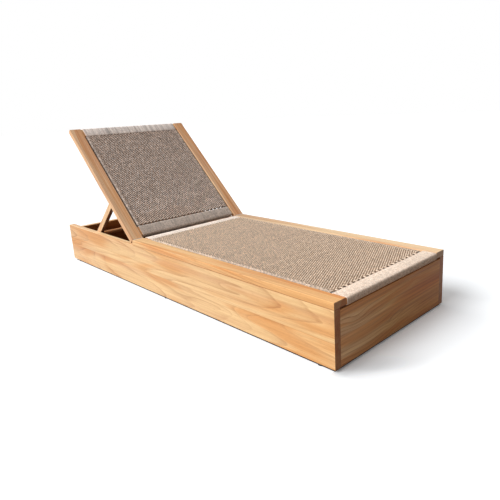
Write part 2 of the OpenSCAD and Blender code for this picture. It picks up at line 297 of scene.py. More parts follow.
def stave_lots(tree, along, wide, seed, stave, edge, run):
    """The row that a point's stave lies in, and two random colours: of the stave and of the row."""
    run_seed, stave_seed, row_seed = (seed * step for step in SEED_STEPS)
    row = calc(tree, "FLOOR", calc(tree, "DIVIDE", minus(tree, wide, edge), stave))
    shifted = calc(tree, "MULTIPLY_ADD", row, run * RUN_STEP, add(tree, along, run_seed))
    piece = calc(tree, "FLOOR", calc(tree, "DIVIDE", shifted, run))
    cells = (vector_of(tree, row, piece, stave_seed), vector_of(tree, row, row_seed, 0.5))
    lots = [put(tree, "TexWhiteNoise", (cell,), noise_dimensions="3D").outputs["Color"] for cell in cells]
    return row, *lots


def teak(name, grain, seed, tone=(1, 1, 1), stave=ONE_BOARD, edge=0.0, run=0.6, swirls=(), rings=95.0,
         depth=0.07, seam=False, contrast=1.0, tones=(), inner=None, end=END, pale=0.0,
         sway=(1.1, 0.065), inner_shade=(PAINTED_SHADE_LOW, PAINTED_SHADE_HIGH)):
    """Teak whose rings, fibres and pores run along one direction, glued up from staves.

    grain turns the axes so that X runs along the wood, and seed chooses the timber. Staves are stave wide
    and run long, with a joint at edge. The pith lies depth behind the face, with so many rings to the
    metre, which wander by sway (how fast, how far) and bulge at the swirls. contrast strengthens the
    rings and streaks, and pale moves the tones to paler wood. tone tints the piece, and tones tint it
    on from one place along it to another. seam draws the joint under the seat's rails. What faces
    inner is given painted shade, one colour low down and one high up, and end tints the end grain.
    """
    made, tree, shader = material(name)
    place = put(tree, "TexCoord").outputs
    turned = put(tree, "Mapping", (place["Object"], None, grain)).outputs[0]
    along, thick, wide = parts(tree, turned)
    row, stave_lot, row_lot = stave_lots(tree, along, wide, seed, stave, edge, run)
    pith_lot, side_lot, shade_lot = put(tree, "SeparateColor", (stave_lot,)).outputs
    lean_lot, band_lot, _ = put(tree, "SeparateColor", (row_lot,)).outputs
    jump = scaled(tree, row_lot, STAVE_JUMP)
    shift = put(tree, "VectorMath", (turned, jump), operation="ADD").outputs[0]
    # the distance from the pith, which leans along the board, and the growth's wander
    tilt = calc(tree, "MULTIPLY_ADD", lean_lot, LEAN, LEAN_LEAST)
    lean_at = times(tree, minus(tree, LEAN_FROM, along), tilt)
    off_pith = calc(tree, "MULTIPLY_ADD", pith_lot, PITH_DEPTH, add(tree, depth, lean_at))
    deep = add(tree, thick, off_pith)
    middle = edge + 0.5 * min(stave, WIDE_STAVE) if stave < 1 else edge
    side = add(tree, swing(tree, side_lot, PITH_SIDE), minus(tree, wide, middle))
    side = minus(tree, side, times(tree, row, stave if stave < 1 else 0.0))
    squares = [calc(tree, "POWER", part, 2.0) for part in (deep, side)]
    wander = swing(tree, fibrous(tree, shift, sway[0], *WANDER_ACROSS), sway[1])
    ripple = swing(tree, fibrous(tree, shift, *RIPPLES), RIPPLE_SIZE)
    radius = add(tree, calc(tree, "SQRT", add(tree, *squares)), wander, ripple)
    count = times(tree, radius, rings)
    for x, z, push, length, height in swirls:
        far = calc(tree, "DIVIDE", minus(tree, along, x), length)
        up = calc(tree, "DIVIDE", minus(tree, wide, z), height)
        count = calc(tree, "MULTIPLY_ADD", bell(tree, far, up), push, count)
    late = late_wood(tree, calc(tree, "FRACT", count))
    # tone bands follow the rings, over slow changes along the board
    band_at = vector_of(tree, times(tree, count, BANDS_PER_RING), times(tree, along, BAND_ALONG), band_lot)
    band = noise(tree, band_at, 1.0, 2.0, 0.55)
    patch = fibrous(tree, shift, *PATCHES)
    warm = calc(tree, "MULTIPLY_ADD", patch, PATCH_SHARE, times(tree, band, BAND_SHARE))
    warm = add(tree, warm, swing(tree, pith_lot, LOT_SHARE))
    golden = spread(tree, warm, GOLD_FROM + pale, AMBER_FROM + pale)
    amber = spread(tree, warm, AMBER_FROM + pale, AMBER_FULL + 2 * pale)
    blush = spread(tree, fibrous(tree, shift, *BLUSHES), *BLUSH_RANGE, 0.0, 0.5 - 6.0 * pale)
    show = spread(tree, fibrous(tree, shift, *LINES), *LINE_RANGE, 0.10 * contrast, 0.62 * contrast)
    colour = blend_colour(tree, golden, PALE, GOLD)
    colour = blend_colour(tree, amber, colour, AMBER)
    colour = blend_colour(tree, blush, colour, BLUSH)
    colour = blend_colour(tree, times(tree, late, show), colour, LINE)
    # fibres and open pores
    streak = fibrous(tree, shift, *STREAKS)
    fibre = fibrous(tree, turned, *FIBRES)
    pore = spread(tree, fibrous(tree, turned, *PORES), *PORE_RANGE)
    shade = times(
        tree,
        spread(tree, fibre, *FIBRE_SHADE),
        spread(tree, streak, *STREAK_RANGE, 1.0 - 0.17 * contrast, 1.0 + 0.09 * contrast),
        spread(tree, pore, *PORE_SHADE),
        spread(tree, shade_lot, *PIECE_SHADE),
    )
    own = parts(tree, place["Object"])
    if seam:
        off = calc(tree, "ABSOLUTE", minus(tree, own[2], BOARD_TOP))
        bare = calc(tree, "LESS_THAN", own[0], HINGE_X)
        line = calc(tree, "MAXIMUM", spread(tree, off, *SEAM_SHADE), bare)
        shade = times(tree, shade, line)
    shades = [calc(tree, "POWER", shade, power) for power in SHADE_POWERS]
    colour = tinted(tree, colour, colour_of(tree, *shades))
    for start, stop, next_tone in tones:
        tone = blend_colour(tree, spread(tree, along, start, stop), tone, next_tone)
    colour = tinted(tree, colour, tone)
    # end grain drinks more oil and is darker
    facing = put(tree, "Mapping", (place["Normal"], None, grain)).outputs[0]
    ends = calc(tree, "ABSOLUTE", parts(tree, facing)[0])
    colour = blend_colour(tree, spread(tree, ends, *END_RANGE), colour, tinted(tree, colour, end))
    if inner:
        # painted shade: what faces inner is darkened, and darker lower down
        painted_shade = blend_colour(tree, spread(tree, own[2], *PAINTED_SHADE_HEIGHTS), *inner_shade)
        away = 1.0
        if inner != ALL_ROUND:
            dot = put(tree, "VectorMath", (place["Normal"], inner), operation="DOT_PRODUCT")
            away = spread(tree, dot.outputs["Value"], *INNER_RANGE)
        colour = blend_colour(tree, away, colour, tinted(tree, colour, painted_shade))
    tree.links.new(colour, shader.inputs["Base Color"])
    rough = calc(tree, "MULTIPLY_ADD", fibre, 0.22, calc(tree, "MULTIPLY_ADD", late, -0.08, 0.46))
    tree.links.new(rough, shader.inputs["Roughness"])
    shader.inputs["Specular IOR Level"].default_value = 0.22
    relief = minus(tree, calc(tree, "MULTIPLY_ADD", late, -0.3, fibre), times(tree, pore, 0.8))
    bump(tree, shader, relief, 0.35, 0.0004)
    return made


# ---------------------------------------------------------------- rope, metal and nylon
# each cord of a mesh has its own span of the map named rope, which gives its length in metres
CORD_SPAN = 20.0
BRAIDS_PER_METRE = 240.0
BRAIDS_ROUND = 3.0
# where the selvedge begins across the panel, and how ragged its edge is
SELVEDGE = (TUBE_INSIDE + 0.012, TUBE_INSIDE + 0.018)
RAGGED = 0.014
# noises as scale, detail and roughness
FLECKS = (260.0, 3.0, 0.7)
RAGS = (90.0, 1.0)
PATCHY = (52.0,)
BEADS = (105.0, 1.0)
TURN_BANDS = (1.0, 2.0, 0.7)
TURN_STRETCH = (2.0, 150.0, 2.0)
METAL_LINES = (1.0, 3.0, 0.6)
METAL_CLOUDS = (60.0, 3.0, 0.6)
# where each value begins to show and shows in full
FLECK_RANGE = (0.38, 0.62)
PATCHY_RANGE = (0.34, 0.66)
BEAD_RANGE = (0.36, 0.64)
FACE_RANGE = (0.45, 0.90)
UNDER_RANGE = (-0.5, 0.8)
TURN_RANGE = (0.30, 0.58)
# a value's range and the shades or the roughness that it gives
BRAID_SHADE = (-0.6, 0.9, 0.80, 1.04)
CORD_SHADE = (0.0, 1.0, 0.93, 1.05)
BELOW_SHADE = (-2.0, -1.1, 0.35, 1.0)
ROPE_ROUGH = (0.3, 0.7, 0.78, 0.95)
LINE_SHADE = (0.3, 0.7, 0.88, 1.08)
CLOUD_SHADE = (0.35, 0.7, 0.9, 1.05)


def rope(name, colour, dark, selvedge=None, streaks=0.0, deep=1.0, bead=0.12, patchy=0.05, face=1.0):
    """Flat braided outdoor rope with mottled yarns, with painted shade where it dives under another.

    selvedge is the colour near the edge tubes. deep is the painted shade where a rope dives, bead and
    patchy are the fine and the wide mottling, streaks darken some turns, and face is a painted shade on
    faces towards +X.
    """
    made, tree, shader = material(name)
    coordinates = put(tree, "TexCoord").outputs
    place = coordinates["Object"]
    run = put(tree, "UVMap", uv_map="rope").outputs[0]
    length, around, _ = parts(tree, run)
    cord = calc(tree, "FLOOR", calc(tree, "DIVIDE", length, CORD_SPAN))
    lot = put(tree, "TexWhiteNoise", {"W": cord}, noise_dimensions="1D").outputs["Value"]
    fleck = noise(tree, place, *FLECKS)
    mixed = blend_colour(tree, spread(tree, fleck, *FLECK_RANGE), dark, colour)
    if selvedge:
        y = calc(tree, "ABSOLUTE", parts(tree, place)[1])
        ragged = calc(tree, "MULTIPLY_ADD", noise(tree, place, *RAGS), RAGGED, y)
        mixed = blend_colour(tree, spread(tree, ragged, *SELVEDGE), mixed, selvedge)
    # two sets of yarns cross on the rope's face
    waves = []
    for slant in (BRAIDS_ROUND, -BRAIDS_ROUND):
        phase = calc(tree, "MULTIPLY_ADD", length, BRAIDS_PER_METRE, times(tree, around, slant))
        waves.append(calc(tree, "SINE", times(tree, phase, 2 * math.pi)))
    braid = calc(tree, "MAXIMUM", *waves)
    shade = times(
        tree,
        spread(tree, braid, *BRAID_SHADE),
        spread(tree, lot, *CORD_SHADE),
        spread(tree, noise(tree, place, *PATCHY), *PATCHY_RANGE, 1.0 - patchy, 1.0 + patchy),
        spread(tree, noise(tree, place, *BEADS), *BEAD_RANGE, 1.0 - bead, 1.0 + bead),
    )
    # painted shade on faces turned towards +X
    if face < 1:
        ahead = parts(tree, coordinates["Normal"])[0]
        shade = times(tree, shade, spread(tree, ahead, *FACE_RANGE, 1.0, face))
    # painted shade: the cord is darker low in the cloth, and darker still where it dives into the slot
    if deep < 1:
        lift = put(tree, "Attribute", attribute_name="lift").outputs["Fac"]
        under = spread(tree, lift, *UNDER_RANGE, deep, 1.0)
        painted_slot_shade = spread(tree, lift, *BELOW_SHADE)
        shade = times(tree, shade, under, painted_slot_shade)
    if streaks:
        band = noise(tree, scaled(tree, place, TURN_STRETCH), *TURN_BANDS)
        shade = times(tree, shade, spread(tree, band, *TURN_RANGE, 1.0 - streaks, 1.0 + streaks / 3))
    shown = tinted(tree, mixed, colour_of(tree, shade, shade, shade))
    tree.links.new(shown, shader.inputs["Base Color"])
    tree.links.new(spread(tree, fleck, *ROPE_ROUGH), shader.inputs["Roughness"])
    shader.inputs["Specular IOR Level"].default_value = 0.2
    shader.inputs["Sheen Weight"].default_value = 0.12
    bump(tree, shader, calc(tree, "MULTIPLY_ADD", fleck, 0.5, braid), 0.5, 0.0005)
    return made


def metal(name, colour, rough, brush, shine=1.0):
    """Brushed metal, its powder coat, or nylon where shine is 0."""
    made, tree, shader = material(name)
    place = put(tree, "TexCoord").outputs["Object"]
    lines = noise(tree, scaled(tree, place, brush), *METAL_LINES)
    cloud = noise(tree, place, *METAL_CLOUDS)
    shade = times(tree, spread(tree, lines, *LINE_SHADE), spread(tree, cloud, *CLOUD_SHADE))
    shown = tinted(tree, colour_of(tree, shade, shade, shade), colour)
    tree.links.new(shown, shader.inputs["Base Color"])
    tree.links.new(spread(tree, lines, 0.3, 0.7, rough - 0.08, rough + 0.1), shader.inputs["Roughness"])
    shader.inputs["Metallic"].default_value = shine
    bump(tree, shader, lines, 0.25, 0.0002)
    return made


# ---------------------------------------------------------------- materials on the CAD nodes
def dress(made, *names):
    """Gives CAD nodes their material."""
    for name in names:
        for slot in nodes[name].material_slots:
            slot.material = made


# swirls as along, up, push, length and height
SIDE_SWIRLS = (
    (0.62, 0.070, 0.9, 0.09, 0.016),
    (0.36, 0.062, -1.4, 0.14, 0.014),
    (0.50, 0.170, 0.8, 0.07, 0.010),
    (0.24, 0.145, 0.7, 0.04, 0.009),
    (-0.86, 0.130, 0.8, 0.10, 0.012),
)
FOOT_SWIRLS = (
    (-0.15, 0.0, 2.2, 0.19, 0.20),
    (-0.24, 0.15, 1.1, 0.06, 0.022),
    (0.13, 0.165, -0.9, 0.03, 0.018),
    (-0.04, 0.06, 0.9, 0.025, 0.015),
)
# tones as where they start, where they are reached, and the tint
SIDE_TONES = ((-0.85, -0.5, (0.92, 0.865, 0.83)), (0.3, 0.9, (0.91, 0.83, 0.74)))
# the foot board darkens from one end to the other: painted shade towards the end that nears its shadow,
# over the timber's own tone
FOOT_TONES = ((-0.30, -0.05, (0.70, 0.56, 0.42)), (-0.05, 0.20, (0.56, 0.36, 0.23)))
RAILS = {
    "seat_rail_right": (35, (0.95, 0.84, 0.76), ((-0.1, 0.9, (0.90, 0.69, 0.50)),)),
    "seat_rail_left": (31, (0.69, 0.70, 0.84), ((-0.25, 0.6, (0.94, 0.94, 1.0)),)),
}
SAWN = (0.42, 0.30, 0.27)
RAIL_END = (0.50, 0.47, 0.52)
# painted shade: on the head board's inner face, low and high, on a side face of each stile, and under the
# prop's arms
HEAD_INNER_SHADE = ((0.24, 0.11, 0.045), (0.72, 0.44, 0.24))
STILE_SIDE_SHADE = ((0.87, 0.83, 0.79), (0.87, 0.83, 0.79))
ARM_UNDER_SHADE = ((0.30, 0.21, 0.20), (0.30, 0.21, 0.20))
ARM_UNDER = (0.675, 0, -0.738)
ALONG_BACK = (0, -raised, 0)
ALONG_PROP = (0, math.radians(55), 0)

# the boards' faces into the box take the painted shade
dress(teak("teak_side_right", GRAIN["x"], 20, (0.88, 0.80, 0.80), stave=0.112, edge=0.101, run=9.0,
           swirls=SIDE_SWIRLS, seam=True, inner=(0, 1, 0), end=SAWN, pale=0.025, contrast=0.85,
           tones=SIDE_TONES), "side_board_right")
dress(teak("teak_side_left", GRAIN["x"], 8, (0.95, 0.93, 0.96), stave=0.112, edge=0.101, run=9.0,
           swirls=SIDE_SWIRLS[2:], seam=True, inner=(0, -1, 0), end=SAWN), "side_board_left")
dress(teak("teak_foot", GRAIN["y"], 5, (0.89, 0.84, 0.85), edge=-0.12, run=9.0, contrast=1.9, rings=88,
           depth=1.05, sway=(1.3, 0.035), inner=(-1, 0, 0), swirls=FOOT_SWIRLS,
           tones=FOOT_TONES), "foot_board")
dress(teak("teak_head", GRAIN["y"], 6, (0.92, 0.85, 0.82), stave=0.1, edge=0.107, inner=(1, 0, 0),
           inner_shade=HEAD_INNER_SHADE), "head_board")
for rail, (rail_seed, rail_tone, rail_tones) in RAILS.items():
    dress(teak("teak_" + rail, GRAIN["x"], rail_seed, rail_tone, run=9.0, rings=120, depth=0.05,
               contrast=0.85, pale=0.03, seam=True, tones=rail_tones, end=RAIL_END), rail)
for stile, stile_seed, inwards in (("back_stile_right", 21, -1), ("back_stile_left", 22, 1)):
    dress(teak("teak_" + stile, ALONG_BACK, stile_seed, (1.01, 0.94, 1.03), run=1.4, rings=120,
               depth=0.04, inner=(0, inwards, 0), inner_shade=STILE_SIDE_SHADE), stile)
for arm, arm_seed in (("prop_arm_right", 31), ("prop_arm_left", 32)):
    dress(teak("teak_" + arm, ALONG_PROP, arm_seed, (0.96, 0.93, 1.0), run=2.0, rings=150,
               inner=ARM_UNDER, inner_shade=ARM_UNDER_SHADE), arm)
# the crossbar's darker tone is painted shade, as it stands in the shade under the backrest
dress(teak("teak_crossbar", GRAIN["y"], 33, (0.76, 0.58, 0.50), run=2.0, rings=150), "prop_crossbar")
# the pieces inside the box take the painted shade on every face
dress(teak("teak_inner_x", GRAIN["x"], 41, run=0.8, inner=ALL_ROUND), "seat_ledger_left",
      "seat_ledger_right", "rack_left", "rack_right", "rack_spacer_left", "rack_spacer_right")
dress(teak("teak_inner_y", GRAIN["y"], 42, run=0.8, inner=ALL_ROUND), "base_braces", "seat_bearers",
      "seat_foot_rail", "seat_hinge_rail")
dress(teak("teak_inner_z", GRAIN["z"], 43, inner=ALL_ROUND),
      *(name for name in nodes if name.startswith("corner_block")))
dress(teak("teak_back_rails", GRAIN["y"], 44, (0.82, 0.74, 0.68)), "back_top_rail", "back_bottom_rail")
dress(metal("steel_brushed", (0.56, 0.55, 0.53), 0.34, (60, 900, 60)), "seat_leaf_left",
      "seat_leaf_right", "back_leaf_left", "back_leaf_right", "hinge_pins", "prop_bracket_left",
      "prop_bracket_right", "prop_bolts")
dress(metal("alloy_coated", (0.32, 0.29, 0.26), 0.52, (900, 900, 900), 0.15), "seat_tube_left",
      "seat_tube_right", "back_tube_left", "back_tube_right")
dress(metal("nylon_black", (0.035, 0.033, 0.03), 0.55, (700, 700, 700), 0.0), "glides")

# ---------------------------------------------------------------- cords
SIDES = 6
WRAP_WIDE = 0.0031
CORD_WIDE = 0.0026
TIE_WIDE = 0.0050
CORD_THICK = 0.0020
# a cord's strip in the bake's map: its bare edge and the share that it fills
LANE_EDGE = 0.05
LANE_USED = 0.9


def unit(vectors):
    """Vectors of length 1."""
    return vectors / np.linalg.norm(vectors, axis=1)[:, None]


def cords(name, paths, made, body, stands_for=(), turn_points=0, width=CORD_WIDE):
    """One mesh of flat cords that follow paths.

    Each path comes with its side, the direction in which the cord is wide, and with its lift, how high
    each point lies in the cloth. A wound cord is laid out for baking in strips of turn_points steps.
    """
    points, faces, bake, run, lifts = [], [], [], [], []
    corners = 2 * math.pi * np.arange(SIDES) / SIDES
    thickness = CORD_THICK / math.sin(math.pi / 3)
    strips = sum((len(path) - 1) // turn_points if turn_points else 1 for path, _, _ in paths)
    first = 0
    strip = 0
    for index, (path, side, lift) in enumerate(paths):
        lifts.append(np.repeat(lift, SIDES))
        count = len(path)
        direction = unit(np.gradient(path, axis=0))
        thin = unit(np.cross(direction, side))
        wide = np.cross(thin, direction)
        ring = (
            width * np.cos(corners)[None, :, None] * wide[:, None, :]
            + thickness * np.sin(corners)[None, :, None] * thin[:, None, :]
        )
        points.append((path[:, None, :] + ring).reshape(-1, 3))
        steps = np.linalg.norm(np.diff(path, axis=0), axis=1)
        far = CORD_SPAN * (index + 0.5) + np.concatenate(([0], np.cumsum(steps)))
        i, k = np.meshgrid(np.arange(count - 1), np.arange(SIDES), indexing="ij")
        i, k = i.ravel(), k.ravel()
        at = first + i * SIDES
        after = (k + 1) % SIDES
        quads = np.stack([at + k, at + after, at + SIDES + after, at + SIDES + k], 1)
        faces.extend(quads.tolist())
        per = turn_points or count - 1
        lane = strip + i // per
        u0 = (i % per) / per
        u1 = u0 + 1 / per
        v0 = (lane + LANE_EDGE + LANE_USED * k / SIDES) / strips
        v1 = (lane + LANE_EDGE + LANE_USED * (k + 1) / SIDES) / strips
        bake.append(np.stack([u0, v0, u0, v1, u1, v1, u1, v0], 1).reshape(-1))
        low, high = k / SIDES, (k + 1) / SIDES
        run.append(np.stack([far[i], low, far[i], high, far[i + 1], high, far[i + 1], low], 1).reshape(-1))
        last_lane = strip + (count - 2) // per
        for ring_at, order, u, cap_lane in ((0, -1, 0.0, strip), (count - 1, 1, 1.0, last_lane)):
            faces.append([first + ring_at * SIDES + corner for corner in range(SIDES)][::order])
            bake.append(np.tile([u, (cap_lane + 0.5) / strips], SIDES))
            run.append(np.tile([far[ring_at], 0.5], SIDES))
        first += count * SIDES
        strip += (count - 1) // per if turn_points else 1
    mesh = bpy.data.meshes.new(name)
    mesh.from_pydata(np.concatenate(points).tolist(), [], faces)
    for layer, values in (("OFBake", bake), ("rope", run)):
        mesh.uv_layers.new(name=layer).data.foreach_set("uv", np.concatenate(values))
    mesh.attributes.new("lift", "FLOAT", "POINT").data.foreach_set("value", np.concatenate(lifts))
    mesh.shade_smooth()
    mesh.materials.append(made)
    cord_piece = place_object(name, mesh)
    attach(cord_piece, body)
    if stands_for:
        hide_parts(*stands_for)


# ---------------------------------------------------------------- the weave
ACROSS = (0, 1, 0)
# how far a cord rises and falls, how far a weft slants as it does, and how loose a crossing is
LIFT = 0.0020
SLANT = 0.0020
LOOSE = 0.0006
SINK = 0.0002
WARP_PITCH = 0.00655
WEFT_PITCH = 0.0065
# the room between the outer warps and the edge tubes, and between the outer wefts and the slots
TUBE_CLEAR = 0.005
RAIL_CLEAR = 0.0033
WARPS = 2 * int((TUBE_INSIDE - TUBE_CLEAR) / WARP_PITCH) + 1
# every fourth warp crosses the slot, or all where there is none; a wide slot has ties too
BRIDGE_EVERY = 4
TIGHT_GAP = 0.001
TIE_GAP = 0.0065
# a panel of more rows is made in two meshes
ROWS_PER_MESH = 120
# a repeat of the twill as steps along, level and slant: over two and under one
TWILL = 3
STEPS = ((0.0, -1.0, 0.0), (0.75, 0.8, 1.0), (1.5, 1.0, 0.0), (2.25, 0.8, -1.0))
# the weft's way round an edge tube, from the tube's middle in millimetres
TUBE_TURN = np.array((
    (-6.5, 9.5), (-1.0, 9.5), (5.0, 9.5), (7.8, 8.3), (9.0, 5.8), (9.0, -5.8),
    (7.8, -8.3), (5.0, -9.5), (-5.5, -9.5), (-7.8, -8.3), (-9.0, -5.8), (-9.0, 1.5),
)) * 0.001 + ((tube_lo + tube_hi) / 2)[1:]
# the warps over each tube lie in the wefts' turn
EDGE_WARPS = 2
EDGE_Z = float(TUBE_TURN[0][1])
EDGE_LIFT = 0.0011
# a warp's way out of the cloth: its first height, then steps out with their heights
BRIDGE = (0.0015, (0.0, 0.0013), (0.003, 0.0005))
DIVE = (-0.0013, (0.0012, -0.006), (0.0015, -0.0155))
ROW_TO_END = 0.0035
# a light tie over the slot at the foot: steps and heights from the last row, and from the slot's end
TIE_START = ((0.0, -0.001), (0.0025, 0.0018))
TIE_END = ((0.0, 0.0020), (0.006, 0.0015))

chance = np.random.default_rng(11)


def loose(x, y, z):
    """A crossing, a little off its exact place."""
    dx, dy, dz = chance.uniform(-1, 1, 3)
    return (x + LOOSE * dx, y + LOOSE * dy, z - SINK - SINK * dz)


def crossings(phase, count):
    """Where a cord meets those that cross it, as their number with its level and slant."""
    for start in range(phase % TWILL - TWILL, count + TWILL, TWILL):
        for step, level, slant in STEPS:
            if -0.4 < start + step < count - 0.6:
                yield start + step, level, slant


def height(path, middle=CLOTH_Z, lift=LIFT):
    """How high a flat cord lies in the cloth: 1 on top, -1 below, less where it dives out of it."""
    return np.clip((path[:, 2] - middle) / lift, -3, 1)


def warp_y(k):
    """A warp's place across the panel."""
    return (k - (WARPS - 1) / 2) * WARP_PITCH


def weft_path(row, x):
    """A cord that goes over two warps and under one, and round the tube at each edge."""
    woven = [
        loose(x + SLANT * slant, warp_y(k), CLOTH_Z + LIFT * level)
        for k, level, slant in crossings(row, WARPS)
    ]
    left = [(x, y, z) for y, z in TUBE_TURN]
    right = [(x, -y, z) for y, z in TUBE_TURN[::-1]]
    return np.array(right + woven + left)


def warp_path(k, rows, head=(), foot=(), middle=CLOTH_Z, lift=LIFT):
    """A cord along the panel, with its two ends as given."""
    y = warp_y(k)
    pitch = (rows[-1] - rows[0]) / (len(rows) - 1)
    woven = [
        loose(rows[0] + j * pitch, y, middle - lift * level)
        for j, level, _ in crossings(k, len(rows))
    ]
    return np.array([(x, y, z) for x, z in head] + woven + [(x, y, z) for x, z in foot])


def warp_end(x, out, gap, bridging):
    """A warp's way from the last row to the wound rail: over the slot, or down into it."""
    near = x + out * ROW_TO_END
    far = near + out * gap if bridging else near
    first_z, *steps = BRIDGE if bridging else DIVE
    return [(near, CLOTH_Z + first_z)] + [(far + out * dx, CLOTH_Z + dz) for dx, dz in steps]


def panel(name, place, gaps, body, node, finish, tilt):
    """The woven panel between two wound rails, made in the flat position."""
    head_gap, foot_gap = gaps
    start, stop = place[0] + RAIL_CLEAR + head_gap, place[1] - RAIL_CLEAR - foot_gap
    rows = np.linspace(start, stop, round((stop - start) / WEFT_PITCH) + 1)
    lying = (math.cos(tilt), 0, -math.sin(tilt))
    wefts, warps, ties = [], [], []
    for row, x in enumerate(rows):
        path = weft_path(row, x)
        wefts.append((finish(path), lying, height(path)))
    for k in range(WARPS):
        bridging = k % BRIDGE_EVERY == 1
        head = warp_end(rows[0], -1, head_gap, bridging or head_gap < TIGHT_GAP)[::-1]
        foot = warp_end(rows[-1], 1, foot_gap, bridging or foot_gap < TIGHT_GAP)
        path = warp_path(k, rows, head, foot)
        warps.append((finish(path), ACROSS, height(path)))
        if bridging and foot_gap > TIE_GAP:
            run = [*TIE_START, *((foot_gap + dx, dz) for dx, dz in TIE_END)]
            path = np.array([(rows[-1] + dx, warp_y(k), CLOTH_Z + dz) for dx, dz in run])
            ties.append((finish(path), ACROSS, np.ones(len(path))))
    for k in (*range(-EDGE_WARPS, 0), *range(WARPS, WARPS + EDGE_WARPS)):
        path = warp_path(k, rows, middle=EDGE_Z, lift=EDGE_LIFT)
        warps.append((finish(path), ACROSS, height(path, EDGE_Z, EDGE_LIFT)))
    if ties:
        cords(name + "_ties", ties, tie_rope, body, width=TIE_WIDE)
    weft_rope, warp_rope = weave_ropes[name]
    tails = ("a", "b") if len(rows) > ROWS_PER_MESH else ("",)
    for part, tail in enumerate(tails):
        stands_for = (node,) if part == 0 else ()
        cords(name + "_wefts" + tail, wefts[part::len(tails)], weft_rope, body, stands_for)
        cords(name + "_warps" + tail, warps[part::len(tails)], warp_rope, body)


# ---------------------------------------------------------------- the wound rails
WRAP_PITCH = 0.0062
WRAP_BEND = 0.0045
# the angles that the cord turns through at each corner, and how many points come before the top's middle
WRAP_CORNERS = ((270, 225, 180), (180, 135, 90), (90, 45, 0), (0, -45, -90))
TOP_MIDDLE = 6


def wound(node, box, made, body, finish, bend=WRAP_BEND, wider=0.0):
    """A rail wound with cord from side to side."""
    lo, hi = box[0] - (0, wider, 0), box[1] + (0, wider, 0)
    x0, x1, z0, z1 = lo[0] + CORD_THICK, hi[0] - CORD_THICK, lo[2] + CORD_THICK, hi[2] - CORD_THICK
    left, right, low, high = x0 + bend, x1 - bend, z0 + bend, z1 - bend
    centres = ((left, low), (left, high), (right, high), (right, low))
    loop = []
    for (x, z), angles in zip(centres, WRAP_CORNERS):
        for angle in angles:
            angle = math.radians(angle)
            loop.append((x + bend * math.cos(angle), z + bend * math.sin(angle)))
    middle_x = (x0 + x1) / 2
    loop.insert(TOP_MIDDLE, (middle_x, z1))
    loop.insert(0, (middle_x, z0))
    width = hi[1] - lo[1]
    turns = int(width / WRAP_PITCH)
    pitch = (width - 2 * WRAP_WIDE) / turns
    start = lo[1] + WRAP_WIDE
    path = []
    for done in range(turns):
        # the cord steps to the next turn underneath
        for point, (x, z) in enumerate(loop):
            path.append((x, start + pitch * (done + (0.5 if point else 0.0)), z))
    path.append((loop[0][0], start + pitch * turns, loop[0][1]))
    path = finish(np.array(path))
    lift = np.ones(len(path))
    cords(node + "_cord", [(path, ACROSS, lift)], made, body, (node,), len(loop), WRAP_WIDE)


weave_ropes = {
    "seat_panel": (
        rope("rope_seat_weft", (0.97, 0.805, 0.63), (0.89, 0.665, 0.49), (0.92, 0.75, 0.61), deep=0.64,
             bead=0.24, patchy=0.09),
        rope("rope_seat_warp", (0.43, 0.275, 0.18), (0.28, 0.17, 0.11), deep=0.6),
    ),
    "back_panel": (
        # painted light: the back's weft is a lighter, cooler copy of the seat's, for how the light falls
        # on the back
        rope("rope_back_weft", (1.0, 0.87, 0.775), (0.95, 0.76, 0.655), (0.97, 0.86, 0.78), deep=0.45,
             bead=0.24, patchy=0.15),
        rope("rope_back_warp", (0.42, 0.27, 0.19), (0.26, 0.17, 0.12), deep=0.6),
    ),
}
tie_rope = rope("rope_tie", (0.88, 0.70, 0.55), (0.72, 0.54, 0.41))
foot_rope = rope("rope_wrap", (0.96, 0.84, 0.71), (0.73, 0.53, 0.40), face=0.81)
# painted light: the hinge band's rope is the wrap rope made lighter, against the backrest's shade on it
hinge_rope = rope("rope_hinge_band", (1.0, 0.93, 0.84), (0.88, 0.70, 0.58), bead=0.14)
top_rope = rope("rope_top_band", (1.0, 0.915, 0.86), (1.0, 0.88, 0.81), streaks=0.46, bead=0.04,
                patchy=0.03)
low_rope = rope("rope_low_band", (0.72, 0.62, 0.54), (0.56, 0.46, 0.40), streaks=0.24)

foot_box, head_box = solid_box("seat_foot_wrap"), solid_box("seat_hinge_wrap")
top_box, low_box = flat_box("back_top_wrap"), flat_box("back_bottom_wrap")
panel("seat_panel", (head_box[1][0], foot_box[0][0]), (0.0, 0.0075), "base", "seat_weave", stay, 0.0)
wound("seat_foot_wrap", foot_box, foot_rope, "base", stay, bend=0.0058, wider=0.0055)
wound("seat_hinge_wrap", head_box, hinge_rope, "base", stay)
panel("back_panel", (top_box[1][0], low_box[0][0]), (0.003, 0.006), "backrest", "back_weave", upright,
      raised)
wound("back_top_wrap", top_box, top_rope, "backrest", upright)
wound("back_bottom_wrap", low_box, low_rope, "backrest", upright)

# ---------------------------------------------------------------- camera and light
# the camera is fitted to the corners of the lounger in the photograph
LENS = 34.6
SENSOR = 36.0
SHIFT = (-0.06536, -0.03576)
CAMERA_AT = (1.86482, -1.41393, 0.81892)
CAMERA_LOOKS = (-0.689123, 0.680865, -0.248057)
CAMERA_RIGHT = (0.710498, 0.702158, -0.046547)
CLIP_END = 100
# each sun's name, strength, softness in degrees, and where it stands
SUNS = (
    ("key", 3.15, 40, (-0.25, -0.77, 0.62)),
    ("rim", 0.66, 35, (-0.80, -0.12, 0.58)),
)
# the sky's light on the lounger, and the white that the camera sees
FILL = ((1.0, 0.98, 0.96, 1.0), 0.29)
WHITE = ((1.0, 1.0, 1.0, 1.0), 1.0)


def seen_ray(tree):
    """1 for rays that show a surface to the camera, 0 for those that light the scene."""
    rays = put(tree, "LightPath").outputs
    direct = add(tree, rays["Is Camera Ray"], rays["Is Glossy Ray"])
    return calc(tree, "ADD", direct, rays["Is Transmission Ray"], clamp=True)


